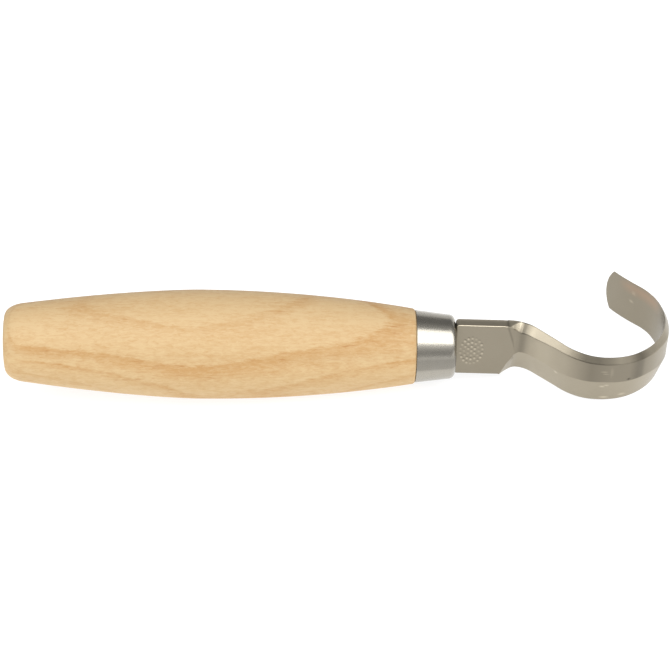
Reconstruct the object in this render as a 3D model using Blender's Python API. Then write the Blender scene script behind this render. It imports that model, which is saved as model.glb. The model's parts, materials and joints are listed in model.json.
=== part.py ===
"""Hook knife for carving bowls and spoons: a turned birch handle, a drawn steel ferrule, and a hooked
blade whose tang is glued into the handle.

The knife is drawn about its own axis, in millimetres: X runs along the handle from the butt, Y is across
it, away from the hook's first bend, and Z is square to the plane in which the hook is bent. An empty then
lays the knife down on the ground plane, on the belly of its handle and the lower edge of its hook.
"""

import math

import bmesh
import bpy
from mathutils import Matrix, Vector

MM = 0.001
GAP = 0.3  # between pieces that touch

# Handle: a barrel that is fattest near its middle and has a flat butt with a rounded corner.
HANDLE_LENGTH = 102.4
BELLY_X = 48.8
BELLY_DIAMETER = 27.0
BUTT_DIAMETER = 18.2  # where the barrel would end without its rounded corner
NECK_DIAMETER = 18.3
BUTT_SWELL = 1.55  # exponents of the barrel's two curves
NECK_SWELL = 2.05
BUTT_CORNER_LENGTH = 4.5
BUTT_CORNER_DEPTH = 3.0
NECK_CORNER = 0.8

# Ferrule: a tapered cup over the handle's spigot.
FERRULE_BASE_X = HANDLE_LENGTH + GAP
FERRULE_FRONT_X = 111.9
FERRULE_BASE_DIAMETER = 17.7
FERRULE_FRONT_DIAMETER = 15.6  # where the cone would meet the front without its rounded edge
FERRULE_EDGE = 1.8
FERRULE_WALL = 0.9
FERRULE_FRONT_WALL = 1.4
SPIGOT_END_X = FERRULE_FRONT_X - FERRULE_FRONT_WALL - GAP

# Blade: one bar of steel with a tang, a flat ricasso and a hook.
BLADE_TILT = math.radians(1.3)  # the blade sits in the handle with its hook end a little low
BAR_THICKNESS = 2.9
RICASSO_WIDTH = 15.0
RICASSO_START_X = FERRULE_FRONT_X + 0.4
TANG_WIDTH = 7.0
TANG_POINT_WIDTH = 4.8  # where the tang's pointed end begins
TANG_POINT_LENGTH = 12.0
TANG_TIP_WIDTH = 3.6
TANG_TIP_THICKNESS = 1.6
TANG_TIP_X = 36.0

# Mortise in the handle, filled with adhesive round the tang.
MORTISE_HEIGHT = 10.0
MORTISE_WIDTH = 5.6
MORTISE_PLAY = 0.8  # adhesive beyond the tang's tip
MORTISE_END_X = TANG_TIP_X - 2 * GAP - MORTISE_PLAY

# Hook: the inner face follows a path of straights and arcs, in the plane that the hook is bent in.
BEND_START_X = 126.2
HOOK_BENDS = (  # (radius, turn in degrees), or (length, 0) for a straight
    (8.0, -44.5),
    (8.8, 0.0),
    (14.6, 75.0),
    (18.1, 80.5),
    (14.5, 29.0),
    (33.0, -15.0),
)
BEND_STEP = 5.0  # degrees between sections
TIP_STEPS = 12

# Section of the hook at its middle: both edges lie on the inner face, and the outer side is bevelled.
EDGE_HALF_WIDTH = 6.55
SPINE_LAND_Z = 5.05
BEVEL_LAND_Z = -0.65
HOOK_NARROWING = 0.19
HOOK_THICKNESS_START = 1.35
HOOK_THICKNESS_TIP = 0.85
LAND_SHARE = 0.8  # the outer flat never comes nearer the edge than this share, near the round tip
TIP_RADIUS = 9.6
TIP_BLUNTNESS = 0.05

# Grinding takes the bar from its full section to the hook's, between these distances past the bend's start.
EDGE_GRIND_START = -2.8
SPINE_GRIND_START = -1.3
GRIND_END = 2.8

# How the knife lies.
REST_PITCH = math.radians(3.2)
REST_ROLL = math.radians(2.4)

ROUND_STEPS = 72
BIRCH = ((0.72, 0.50, 0.27, 1.0), 0.55, 0.0)
FERRULE_STEEL = ((0.56, 0.54, 0.50, 1.0), 0.38, 1.0)
BLADE_STEEL = ((0.47, 0.44, 0.38, 1.0), 0.30, 1.0)
ADHESIVE = ((0.62, 0.55, 0.40, 1.0), 0.45, 0.0)


def clear_scene():
    for obj in list(bpy.data.objects):
        bpy.data.objects.remove(obj, do_unlink=True)


def make_material(name, colour, roughness, metallic):
    material = bpy.data.materials.new(name)
    material.use_nodes = True
    shader = material.node_tree.nodes["Principled BSDF"]
    shader.inputs["Base Color"].default_value = colour
    shader.inputs["Roughness"].default_value = roughness
    shader.inputs["Metallic"].default_value = metallic
    return material


def add_object(name, mesh, parent, material=None):
    obj = bpy.data.objects.new(name, mesh)
    bpy.context.scene.collection.objects.link(obj)
    obj.parent = parent
    if material:
        mesh.materials.append(material)
    return obj


def make_cutter(name, mesh, parent):
    cutter = add_object(name, mesh, parent)
    cutter.hide_render = True
    cutter.display_type = "WIRE"
    return cutter


def cut(obj, cutter):
    modifier = obj.modifiers.new(cutter.name, "BOOLEAN")
    modifier.operation = "DIFFERENCE"
    modifier.solver = "EXACT"
    modifier.object = cutter


def mesh_from(name, form, smooth_degrees=None):
    bmesh.ops.recalc_face_normals(form, faces=form.faces)
    mesh = bpy.data.meshes.new(name)
    form.to_mesh(mesh)
    form.free()
    if smooth_degrees:
        mesh.shade_smooth()
        mesh.set_sharp_from_angle(angle=math.radians(smooth_degrees))
    return mesh


def turned(name, profile, parent, material):
    """A turned piece about X: the profile lists (x, radius), from the hook end down its outer side."""
    form = bmesh.new()
    corners = [form.verts.new((radius * MM, 0.0, x * MM)) for x, radius in profile]
    for corner, following in zip(corners, corners[1:]):
        form.edges.new((corner, following))
    mesh = bpy.data.meshes.new(name)
    form.to_mesh(mesh)
    form.free()
    obj = add_object(name, mesh, parent, material)
    obj.rotation_euler.y = math.pi / 2
    screw = obj.modifiers.new("turning", "SCREW")
    screw.steps = ROUND_STEPS
    screw.render_steps = ROUND_STEPS
    screw.use_merge_vertices = True
    screw.merge_threshold = 0.00001
    screw.use_smooth_shade = True
    return obj


def lofted(name, sections, smooth_degrees=None):
    """A mesh through sections that all have the same number of corners, closed at both ends."""
    form = bmesh.new()
    rings = [[form.verts.new(Vector(corner) * MM) for corner in section] for section in sections]
    for ring, following in zip(rings, rings[1:]):
        for i, corner in enumerate(ring):
            beside = (i + 1) % len(ring)
            form.faces.new((corner, ring[beside], following[beside], following[i]))
    form.faces.new(rings[0])
    form.faces.new(rings[-1])
    return mesh_from(name, form, smooth_degrees)


def arc(centre, radii, start, end, steps):
    """Points (x, radius) along an elliptical arc between two angles in degrees."""
    angles = [math.radians(start + (end - start) * i / steps) for i in range(steps + 1)]
    return [(centre[0] + radii[0] * math.cos(a), centre[1] + radii[1] * math.sin(a)) for a in angles]


def barrel_radius(x):
    if x < BELLY_X:
        fall = (BELLY_DIAMETER - BUTT_DIAMETER) * ((BELLY_X - x) / BELLY_X) ** BUTT_SWELL
    else:
        reach = HANDLE_LENGTH - BELLY_X
        fall = (BELLY_DIAMETER - NECK_DIAMETER) * ((x - BELLY_X) / reach) ** NECK_SWELL
    return (BELLY_DIAMETER - fall) / 2


def ferrule_radius(x):
    share = (x - FERRULE_BASE_X) / (FERRULE_FRONT_X - FERRULE_BASE_X)
    return (FERRULE_BASE_DIAMETER + (FERRULE_FRONT_DIAMETER - FERRULE_BASE_DIAMETER) * share) / 2


def handle_profile():
    barrel_stations = 30
    spigot_play = FERRULE_WALL + GAP
    neck = (HANDLE_LENGTH - NECK_CORNER, barrel_radius(HANDLE_LENGTH - NECK_CORNER) - NECK_CORNER)
    profile = [
        (SPIGOT_END_X, 0.0),
        (SPIGOT_END_X, ferrule_radius(SPIGOT_END_X) - spigot_play),
        (HANDLE_LENGTH, ferrule_radius(HANDLE_LENGTH) - spigot_play),
    ]
    profile += arc(neck, (NECK_CORNER, NECK_CORNER), 0, 90, 4)
    for i in range(1, barrel_stations):
        share = i / barrel_stations
        x = neck[0] + (BUTT_CORNER_LENGTH - neck[0]) * share
        profile.append((x, barrel_radius(x)))
    butt = (BUTT_CORNER_LENGTH, barrel_radius(BUTT_CORNER_LENGTH) - BUTT_CORNER_DEPTH)
    profile += arc(butt, (BUTT_CORNER_LENGTH, BUTT_CORNER_DEPTH), 90, 180, 10)
    profile.append((0.0, 0.0))
    return profile


def ferrule_profile():
    inner_front_x = FERRULE_FRONT_X - FERRULE_FRONT_WALL
    edge_x = FERRULE_FRONT_X - FERRULE_EDGE
    edge = (edge_x, ferrule_radius(edge_x) - FERRULE_EDGE)
    profile = [(FERRULE_FRONT_X, 0.0)]
    profile += arc(edge, (FERRULE_EDGE, FERRULE_EDGE), 0, 90, 8)
    profile += [
        (FERRULE_BASE_X, ferrule_radius(FERRULE_BASE_X)),
        (FERRULE_BASE_X, ferrule_radius(FERRULE_BASE_X) - FERRULE_WALL),
        (inner_front_x, ferrule_radius(inner_front_x) - FERRULE_WALL),
        (inner_front_x, 0.0),
    ]
    return profile


def bar_section(x, width, thickness):
    """Corners of a bar's section, in the order that hook sections use: along the inner face, then the outer."""
    inner, outer = thickness / 2, -thickness / 2
    half = width / 2
    return [(x, inner, -half), (x, inner, half), (x, outer, half), (x, outer, -half)]


def tang_sections(margin):
    """The tang from its tip to the ricasso, grown by a margin on every side."""
    sizes = (
        (TANG_TIP_X - margin, TANG_TIP_WIDTH, TANG_TIP_THICKNESS),
        (TANG_TIP_X + TANG_POINT_LENGTH, TANG_POINT_WIDTH, BAR_THICKNESS),
        (RICASSO_START_X, TANG_WIDTH, BAR_THICKNESS),
    )
    return [bar_section(x, width + 2 * margin, thickness + 2 * margin) for x, width, thickness in sizes]


def along_bend(start, reach, turn, share):
    """(distance, x, y, heading) at a share of one bend, or of a straight when it has no turn."""
    distance, x, y, heading = start
    if not turn:
        stride = reach * share
        return (distance + stride, x + stride * math.cos(heading), y + stride * math.sin(heading), heading)
    radius = math.copysign(reach, turn)
    turned_heading = heading + turn * share
    return (
        distance + abs(reach * turn * share),
        x + radius * (math.sin(turned_heading) - math.sin(heading)),
        y - radius * (math.cos(turned_heading) - math.cos(heading)),
        turned_heading,
    )


def hook_stations():
    """Places along the inner face, from the start of the grinding to the tip."""
    inner_y = BAR_THICKNESS / 2
    stations = [
        (distance, BEND_START_X + distance, inner_y, 0.0)
        for distance in (EDGE_GRIND_START, SPINE_GRIND_START, 0.0)
    ]
    for number, (reach, degrees) in enumerate(HOOK_BENDS, 1):
        at_tip = number == len(HOOK_BENDS)
        steps = TIP_STEPS if at_tip else max(2, math.ceil(abs(degrees) / BEND_STEP))
        shares = [i / steps for i in range(1, steps + 1)]
        if at_tip:
            shares = [math.sin(share * math.pi / 2) for share in shares]
        start = stations[-1]
        stations += [along_bend(start, reach, math.radians(degrees), share) for share in shares]
    return stations


def mix(start, end, share):
    return start + (end - start) * share


def ground_share(distance, start):
    """How much of the grinding is done at a distance past the bend's start."""
    return min(max((distance - start) / (GRIND_END - start), 0.0), 1.0)


def hook_section(station, length):
    """Both edges of the inner face, then the outer face's corner at the spine and the one at the wide bevel."""
    distance, x, y, heading = station
    share = max(distance, 0.0) / length
    narrowing = 1 - HOOK_NARROWING * (share - 0.5)
    thickness = mix(HOOK_THICKNESS_START, HOOK_THICKNESS_TIP, share)
    spine_ground = ground_share(distance, SPINE_GRIND_START)
    edge_ground = ground_share(distance, EDGE_GRIND_START)
    into_tip = max(distance - (length - TIP_RADIUS), 0.0)
    widest = math.sqrt(TIP_RADIUS**2 - into_tip**2)
    edge = min(mix(RICASSO_WIDTH / 2, EDGE_HALF_WIDTH * narrowing, edge_ground), widest)
    spine_land = mix(RICASSO_WIDTH / 2, min(SPINE_LAND_Z * narrowing, edge * LAND_SHARE), spine_ground)
    bevel_land = mix(-RICASSO_WIDTH / 2, BEVEL_LAND_Z * narrowing, edge_ground)
    spine_thickness = mix(BAR_THICKNESS, thickness, spine_ground)
    bevel_thickness = mix(BAR_THICKNESS, thickness, edge_ground)
    across = (math.sin(heading), -math.cos(heading))
    return [
        (x, y, -edge),
        (x, y, edge),
        (x + across[0] * spine_thickness, y + across[1] * spine_thickness, spine_land),
        (x + across[0] * bevel_thickness, y + across[1] * bevel_thickness, bevel_land),
    ]


def blade_sections():
    stations = hook_stations()
    length = stations[-1][0] + TIP_BLUNTNESS
    ricasso_start = bar_section(RICASSO_START_X, RICASSO_WIDTH, BAR_THICKNESS)
    hook = [hook_section(station, length) for station in stations]
    return tang_sections(0.0) + [ricasso_start] + hook


def tilt_blade(obj):
    """Turn a piece that is drawn along the handle's axis to the blade's own axis."""
    front = Vector((FERRULE_FRONT_X, 0.0, 0.0)) * MM
    turn = Matrix.Rotation(BLADE_TILT, 3, "Y")
    obj.rotation_euler.y = BLADE_TILT
    obj.location = front - turn @ front


def mortise_sections(start_x, end_x, height, width):
    """A slot with round ends, as a drill and a chisel leave it, from one x to another."""
    straight = (height - width) / 2
    steps = 8
    outline = []
    for centre, first in ((straight, 0.0), (-straight, math.pi)):
        for i in range(steps + 1):
            angle = first + math.pi * i / steps
            outline.append((width / 2 * math.cos(angle), centre + width / 2 * math.sin(angle)))
    return [[(x, y, z) for y, z in outline] for x in (start_x, end_x)]


def make_handle(knife):
    handle = turned("handle", handle_profile(), knife, make_material("birch", *BIRCH))
    sections = mortise_sections(MORTISE_END_X, SPIGOT_END_X + 1.0, MORTISE_HEIGHT, MORTISE_WIDTH)
    cut(handle, make_cutter("mortise_cutter", lofted("mortise_cutter", sections), knife))


def make_ferrule(knife):
    ferrule = turned("ferrule", ferrule_profile(), knife, make_material("ferrule_steel", *FERRULE_STEEL))
    slot = [
        bar_section(x, TANG_WIDTH + 2 * GAP, BAR_THICKNESS + 2 * GAP)
        for x in (FERRULE_FRONT_X - FERRULE_FRONT_WALL - 1.0, FERRULE_FRONT_X + 1.0)
    ]
    cut(ferrule, make_cutter("slot_cutter", lofted("slot_cutter", slot), knife))


def make_blade(knife):
    mesh = lofted("blade", blade_sections(), smooth_degrees=20)
    tilt_blade(add_object("blade", mesh, knife, make_material("blade_steel", *BLADE_STEEL)))


def make_adhesive(knife):
    start = MORTISE_END_X + GAP
    height, width = MORTISE_HEIGHT - 2 * GAP, MORTISE_WIDTH - 2 * GAP
    mesh = lofted("tang_adhesive", mortise_sections(start, SPIGOT_END_X, height, width), smooth_degrees=30)
    adhesive = add_object("tang_adhesive", mesh, knife, make_material("adhesive", *ADHESIVE))
    tang = make_cutter("tang_cutter", lofted("tang_cutter", tang_sections(GAP)), knife)
    tilt_blade(tang)
    cut(adhesive, tang)


def lay_down(knife):
    """Turn the knife onto its belly and hook, with the middle of its outline over the origin."""
    knife.rotation_euler = (REST_ROLL, REST_PITCH, 0.0)
    bpy.context.view_layer.update()
    graph = bpy.context.evaluated_depsgraph_get()
    points = []
    for obj in knife.children:
        if not obj.hide_render:
            evaluated = obj.evaluated_get(graph)
            points += [evaluated.matrix_world @ vertex.co for vertex in evaluated.data.vertices]
    lowest = Vector(min(point[axis] for point in points) for axis in range(3))
    highest = Vector(max(point[axis] for point in points) for axis in range(3))
    knife.location = (-(lowest.x + highest.x) / 2, -(lowest.y + highest.y) / 2, -lowest.z)


def main():
    clear_scene()
    knife = bpy.data.objects.new("knife_axis", None)
    bpy.context.scene.collection.objects.link(knife)
    make_handle(knife)
    make_ferrule(knife)
    make_blade(knife)
    make_adhesive(knife)
    lay_down(knife)


main()
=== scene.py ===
"""Looks for the hook knife: a turned birch handle, a drawn steel ferrule and a ground steel hook.

Shapes are drawn in millimetres about the knife's own axis, as the CAD is: X runs along the handle from the
butt, Y is across it, away from the hook's first bend, and Z is square to the plane that the hook is bent in.
The record's mounts say where that axis lies in the world.
"""

import json
import math

import bpy
import numpy as np
from mathutils import Matrix, Vector


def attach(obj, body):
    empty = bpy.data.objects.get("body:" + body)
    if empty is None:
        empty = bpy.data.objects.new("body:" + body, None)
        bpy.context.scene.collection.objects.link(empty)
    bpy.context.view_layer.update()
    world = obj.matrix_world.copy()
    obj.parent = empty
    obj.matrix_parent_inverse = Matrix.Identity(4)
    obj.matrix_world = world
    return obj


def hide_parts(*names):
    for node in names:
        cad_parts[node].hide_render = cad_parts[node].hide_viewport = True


MM = 0.001

# Handle
BUTT_X = 0.84
BUTT_LEAN = 0.024  # how far the butt's lower side is set in for each millimetre downwards
HANDLE_LENGTH = 102.1
BELLY_X = 48.8
BELLY_RADIUS = 13.54
BUTT_RADIUS = 9.02  # where the barrel would end without its rounded corner
NECK_RADIUS = 9.33
BUTT_SWELL = 1.55  # exponents of the barrel's two curves
NECK_SWELL = 2.05
BUTT_CORNER_LENGTH = 4.1
BUTT_CORNER_DEPTH = 2.25
NECK_CORNER = 0.8
SPIGOT_RADII = (7.65, 6.76)  # at its root and at its end
SPIGOT_END_X = 110.2
MORTISE_HALF_HEIGHT = 5.0
MORTISE_HALF_WIDTH = 2.8
MORTISE_END_X = 34.6
SPIGOT_CHAMFER = 0.2
HANDLE_SIDES = 192
BARREL_STATIONS = 190
BARREL_START = 12.0  # where the butt's lean has died out
AXIS_DROP = 0.07  # how low the turned pieces lie at the butt
AXIS_SINK = 0.0021  # and how much lower for each millimetre forwards
BIRCH_PAINTED_SHADING = (  # (degrees up from the front, how pale the wood is painted there): painted shade darkens its upper side and painted light brightens its underside
    (-90.0, 1.30),
    (-50.0, 1.45),
    (-15.0, 1.28),
    (8.0, 1.14),
    (22.0, 1.02),
    (45.0, 0.98),
    (70.0, 0.93),
    (100.0, 0.86),
    (125.0, 0.77),
    (180.0, 0.88),
    (270.0, 1.30),
)
PAINTED_SHADING_EVEN_RADIUS = 7.2  # on the butt, nearer the axis than this, the painted shading fades out to the same tone all round
SANDING_RIPPLE = 0.02  # how far sanding leaves the barrel from round
SANDING_WAVES = ((3, 0.09, 0.0), (7, -0.16, 1.0))  # (waves round the handle, twist per millimetre, start)

# Ferrule
FERRULE_BASE_X = 102.15
FERRULE_FRONT_X = 112.05
FERRULE_BASE_RADIUS = 9.02
FERRULE_SHOULDER = (110.4, 8.02)  # where the cone meets the rounded front edge
FERRULE_EDGE = (1.65, 1.75)  # length and depth of the rounded front edge
FERRULE_LIP = 0.15
FERRULE_WALL = 0.9
FERRULE_FRONT_WALL = 1.4
FERRULE_INNER_RADIUS = 7.06  # inside its front
SLOT_HALF_HEIGHT = 3.8
SLOT_HALF_WIDTH = 1.75
FERRULE_SIDES = 256
FERRULE_PAINTED_SHADE = (  # (degrees up from the front, how bright the steel is painted there): a painted shade belt dims its reflection along the lower front
    (-180.0, 1.0),
    (-12.0, 1.02),
    (-7.0, 0.98),
    (-2.5, 0.70),
    (14.0, 0.64),
    (25.0, 0.95),
    (30.0, 1.0),
    (180.0, 1.0),
)

# Blade
BLADE_TILT = math.radians(1.3)
BLADE_PIVOT_X = 111.9
BAR_THICKNESS = 2.9
RICASSO_HALF_WIDTH = 7.59
RICASSO_START_X = 112.08
BEND_START_X = 126.2
SHOULDER_CORNER = 0.8
SHOULDER_LEAN = 0.027  # how far the shoulders lean towards the ferrule for each millimetre upwards
SHOULDER_FADE = 3.0  # the lean has died out this far from them
BAR_CORNER = 0.28
TANG = (  # (x, half width, nearest and farthest distance from the inner face's plane)
    (36.0, 1.8, 0.65, 2.25),
    (48.0, 2.4, 0.0, 2.9),
    (111.2, 3.48, 0.0, 2.9),
    (112.08, 3.5, 0.25, 2.65),
)
HOOK_BENDS = (  # (radius, turn in degrees), or (length, 0) for a straight
    (8.0, -44.5),
    (8.8, 0.0),
    (14.6, 75.0),
    (18.1, 80.5),
    (14.5, 29.0),
    (33.0, -17.2),
)
HOOK_LENGTH = sum(abs(reach * math.radians(turn)) if turn else reach for reach, turn in HOOK_BENDS)
EDGE_HALF_WIDTH = 6.55
HOOK_NARROWING = 0.19  # how much narrower the hook is at its tip than at its start, in middle widths
TIP_RADIUS = 9.6
TIP_BEVEL_SLOPE = 0.24
TIP_EDGE_SLOPE = 10  # how fast the upper edge thins at the very tip
EDGE_THICKNESS = 0.04
RIDGE_ROUNDING = 0.16
LEAST_SPINE_BEVEL = 0.05
LEAST_WIDE_BEVEL = 0.02

# Tables along the blade: (distance past the bend's start, value)
HOOK_THICKNESS = (
    (2.4, 1.9),
    (5.0, 1.75),
    (10.0, 1.5),
    (15.0, 1.3),
    (25.0, 1.2),
    (36.0, 1.15),
    (42.0, 1.2),
    (46.5, 1.42),
    (50.0, 1.15),
    (54.0, 0.98),
    (70.0, 0.93),
    (90.0, 0.85),
)
EDGE_TRIM = (  # what is ground off each edge beyond the even narrowing
    (20.0, 0.0),
    (25.0, 0.1),
    (34.0, 0.1),
    (41.0, 0.05),
    (48.0, 0.0),
    (55.0, 0.25),
    (62.0, 0.25),
    (66.0, 0.05),
    (70.0, 0.0),
)
EDGE_DRIFT = (  # how far the bar's middle line wanders across
    (-2.8, -0.09),
    (4.0, 0.0),
    (13.0, 0.0),
    (22.0, -0.22),
    (28.0, -0.12),
    (33.0, -0.15),
    (40.0, -0.12),
    (50.0, -0.1),
    (56.0, 0.0),
    (61.0, 0.0),
    (66.0, -0.12),
    (70.0, 0.0),
)
SPINE_LAND = (  # how far up the flat reaches, to the spine's bevel
    (-1.3, 7.5),
    (2.4, 5.05),
    (7.0, 5.0),
    (10.0, 5.3),
    (15.0, 5.6),
    (30.0, 5.35),
    (90.0, 4.6),
)
BEVEL_LAND = (  # how far down the flat reaches, to the wide bevel
    (-2.55, -7.59),
    (-0.9, -3.8),
    (0.9, -1.1),
    (2.5, -0.45),
    (9.0, -0.5),
    (15.0, -0.95),
    (19.5, -0.55),
    (26.0, -0.2),
    (32.0, -0.5),
    (38.0, -0.7),
    (43.0, -1.4),
    (90.0, -0.8),
)

# Where grinding takes the bar from its full section to the hook's, as distances past the bend's start
PLUNGE_START = -2.55  # the wide bevel's plunge
WIDTH_GRIND_END = 2.8
SPINE_GRIND = (-1.2, 1.9)
BEVEL_GRIND_END = 1.6
BEVEL_GRIND_CURVE = 1.6
FACET_START = -1.75  # the facet behind the flat, at the spine
FACET_LEAN = 2.5  # how much later it starts at the bar's middle line
FACET_SLOPE = 0.28
VALLEY = 2.4  # where the facet meets the hook
VALLEY_ROUNDING = 0.14
VALLEY_LIFT = 0.62  # how much thicker the bar is at the wide bevel than at the spine, just past the valley
VALLEY_LIFT_LENGTH = 5.0
VALLEY_LIFT_SPAN = (5.2, -0.5)  # across the bar, from none of the lift to all of it

# Painted reflection: (distance past the bend's start, how bright the steel is painted), where 1 is the
# ricasso's; the bands stand in for the studio's reflections and shade
FACE_PAINTED_REFLECTION = (
    (-2.8, 1.0), (0.8, 1.0), (1.5, 0.92), (2.0, 0.88), (2.6, 0.78), (3.3, 0.75), (4.0, 0.84),
    (4.7, 1.01), (5.5, 1.15), (6.3, 1.3), (9.0, 1.43), (11.0, 1.4), (17.0, 1.21), (23.0, 0.7),
    (27.5, 0.86), (32.0, 0.87), (34.3, 0.61), (35.6, 0.66), (36.6, 0.95), (38.0, 1.04), (42.5, 1.23),
    (46.0, 1.3), (55.0, 1.3),
)
BEVEL_PAINTED_REFLECTION = (
    (-2.8, 1.45), (0.8, 1.3), (4.5, 1.35), (7.0, 1.45), (11.0, 1.4), (18.5, 1.25), (26.0, 1.2),
    (33.0, 1.32), (40.5, 1.5), (50.0, 1.3),
)
SPINE_PAINTED_REFLECTION = (
    (-14.0, 1.9), (-1.9, 1.85), (-1.3, 1.5), (-0.6, 1.9), (-0.1, 1.95), (0.35, 1.9), (0.85, 2.15),
    (1.6, 2.0), (2.1, 1.2), (2.5, 0.95), (3.0, 0.42), (3.6, 0.46), (4.1, 0.66), (4.7, 0.76),
    (5.3, 0.88), (6.0, 1.0), (8.0, 0.92), (13.0, 0.86), (16.0, 0.72), (18.5, 0.54), (21.0, 0.44),
    (24.6, 0.54), (27.4, 0.85), (29.6, 1.2), (32.0, 1.05), (34.0, 0.62), (35.5, 0.5), (38.4, 1.0),
    (40.5, 1.15), (43.0, 1.2),
)
FACET_SHADE_LINE = (0.28, 0.22, 0.42)  # painted shade along the facet's start: how much darker, how far in, and its half width
FACET_SHADE_LINE_FADE = (-0.5, 4.0)  # from where, and over how many millimetres upwards, the line comes in
PAINTED_REFLECTION_BLUR = 0.12  # how wide a ridge's change of painted reflection is
NICKS_AND_GLINTS = (  # nicks outside, drawn as painted highlights and one painted dark patch: (distance, z, half length, half width, how many times brighter)
    (26.8, -5.75, 1.1, 0.30, 1.7),
    (31.3, -5.25, 1.0, 0.35, 1.5),
    (25.9, -1.80, 0.6, 0.25, 1.6),
    (26.9, -1.35, 0.6, 0.20, 1.5),
    (14.4, -1.50, 0.5, 0.30, 1.5),
    (26.0, 3.00, 0.8, 0.20, 1.45),
    (26.4, 2.35, 0.7, 0.18, 1.35),
    (27.8, 2.80, 0.22, 1.60, 1.3),
    (32.1, 0.05, 0.4, 0.35, 0.40),
)
# nicks on the inner face, painted as brighter patches of reflection
INNER_NICKS_AND_GLINTS = ((67.7, 3.1, 0.6, 0.4, 1.5), (68.1, 0.3, 0.6, 0.4, 1.5))
MARK_SPREAD = 1.3  # how many times its own size a nick reaches before it dies out
# the inner face's painted reflection, darker towards the hook's start
INNER_PAINTED_REFLECTION = ((44.0, 0.8), (54.0, 0.86), (60.0, 0.98), (90.0, 1.0))
TEMPER = (56.0, 73.0, 4.0)  # from and to which distance the inner face is straw-coloured, and its ends' fade
TEMPER_ACROSS = (1.6, 2.6)  # how far below the upper edge it is strongest, and how far it spreads
INNER_SKIN = 0.02  # a point nearer the inner face than this is on it

# Rosette punched in the ricasso's outer face, about (distance past the bend's start, z)
ROSETTE_CENTRE = (-10.05, -0.15)
ROSETTE_STRETCH = (0.82, 1.18)  # it's taller than it's long
ROSETTE_RINGS = ((0.0, 1), (1.15, 6), (2.25, 12), (3.35, 18))  # (radius, how many dots)
ROSETTE_DOT = (0.34, 0.36)  # half the length of a dot, outwards, and half its width
ROSETTE_DEPTH = 0.14
ROSETTE_PAINT_OFFSET = 0.22  # how far from a dot's centre its painted highlight, below, and its painted shade, above, are centred
ROSETTE_PAINTED_HIGHLIGHT = 0.9
ROSETTE_PAINTED_SHADE = 0.4
ROSETTE_SPREAD = 1.2  # how far the painted highlight and shade reach, in dots
ROSETTE_REACH = 3.9  # the finer part of the mesh reaches this far from the centre

# The blade's mesh, in points and in millimetres between rings
INNER_POINTS = 22
BEVEL_POINTS = 22
FACE_POINTS = 110
SPINE_POINTS = 14
CORNER_POINTS = 4
ROW_CROWDING = 1.6  # how much closer together rows are near a ridge
SPINE_FAN = ((-6.0, 4.1), (-1.7, 7.1))  # the rows that follow a ridge fan out to it from the flat
BEVEL_FAN = ((-7.0, -3.4), (-2.9, -7.1))
ROW_LIMIT = 7.1
ROW_SHARE = 0.93  # the most of the bar's half width that such a row may reach
SHOULDER_RINGS = 9
TIP_RINGS = 36
TIP_END = 0.02
ROSETTE_STEP = 0.065
ROSETTE_CLEARANCE = 0.06
RICASSO_STEP = 0.4
BEND_STEP = 0.1
BEND_RANGE = (PLUNGE_START - 0.3, 4.2)
HOOK_STEP = 0.34
CORNER_FADE = (0.3, 0.08)  # the bar's corners fade over this length, to this share
CORNER_SHARE = 0.45  # the most of the bar's thickness that a corner may take

# Birch: the middle of the growth rings follows powers of the way from the handle's middle
PITH_MIDDLE = 50.0
PITH_ACROSS = (-1.19, -0.13, 2.63)
PITH_UP = (-1.27, 0.83, -1.83)
PITH_DROP = 0.68  # how much further down it bends towards the ferrule
RINGS = (  # (radius of a growth ring's dark boundary, how dark it is, how wide its late wood is)
    (7.4, 0.40, 0.5),
    (8.6, 0.35, 0.5),
    (9.6, 0.40, 0.4),
    (10.75, 0.45, 0.35),
    (11.93, 0.62, 0.42),
    (12.72, 0.88, 0.52),
    (13.9, 0.55, 0.35),
    (15.3, 0.45, 0.5),
    (16.4, 0.45, 0.5),
)
RING_SPAN = (5.0, 17.0)
BIRCH_LIGHT = (0.470, 0.341, 0.186, 1.0)
BIRCH_DARK = (0.385, 0.228, 0.094, 1.0)
BIRCH_FLECK = (0.30, 0.135, 0.04, 1.0)

# Steels and adhesive
FERRULE_LIGHT = (0.41, 0.39, 0.35, 1.0)
FERRULE_DARK = (0.34, 0.318, 0.27, 1.0)
BLADE_LIGHT = (0.290, 0.258, 0.200, 1.0)
BLADE_DARK = (0.254, 0.226, 0.174, 1.0)
BLADE_STRAW = (0.375, 0.262, 0.183, 1.0)
BLADE_CLOUD = (0.24, 0.205, 0.150, 1.0)
BLADE_SPECK = (0.20, 0.17, 0.13, 1.0)
ADHESIVE_LIGHT = (0.62, 0.50, 0.30, 1.0)
ADHESIVE_DARK = (0.50, 0.38, 0.20, 1.0)

# Studio, in world metres
FLOOR_HALF = 3.0
FLOOR_DROP = 0.0004  # so that nothing sinks into it
FLOOR_GLOW = 0.84
FLOOR_TONE = 0.26
WORLD_TONES = (  # (degrees up from the front horizon and over to the back one, radiance)
    (0.0, 0.60),
    (15.0, 0.47),
    (23.0, 0.62),
    (30.0, 0.85),
    (37.0, 1.05),
    (44.0, 1.70),
    (92.0, 0.60),
    (108.0, 0.45),
    (122.0, 0.27),
    (150.0, 0.27),
    (160.0, 0.90),
    (180.0, 1.00),
)
SOFTBOX_SIZE = (4.00, 0.84)
SOFTBOX_DISTANCE = 0.95
SOFTBOX_ANGLE = math.radians(69.2)
SOFTBOX_RADIANCE = 2.6

# Camera, in world metres
CAMERA_TARGET = Vector((-0.00041, -0.00470, 0.01407))
CAMERA_DISTANCE = 0.650
CAMERA_ELEVATION = math.radians(36.37)
CAMERA_ROLL = math.radians(-2.09)
CAMERA_LENS = 140.75


def clock_angles(count):
    """Even angles round the axis, from Y towards Z."""
    return np.arange(count) / count * 2 * math.pi


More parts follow.
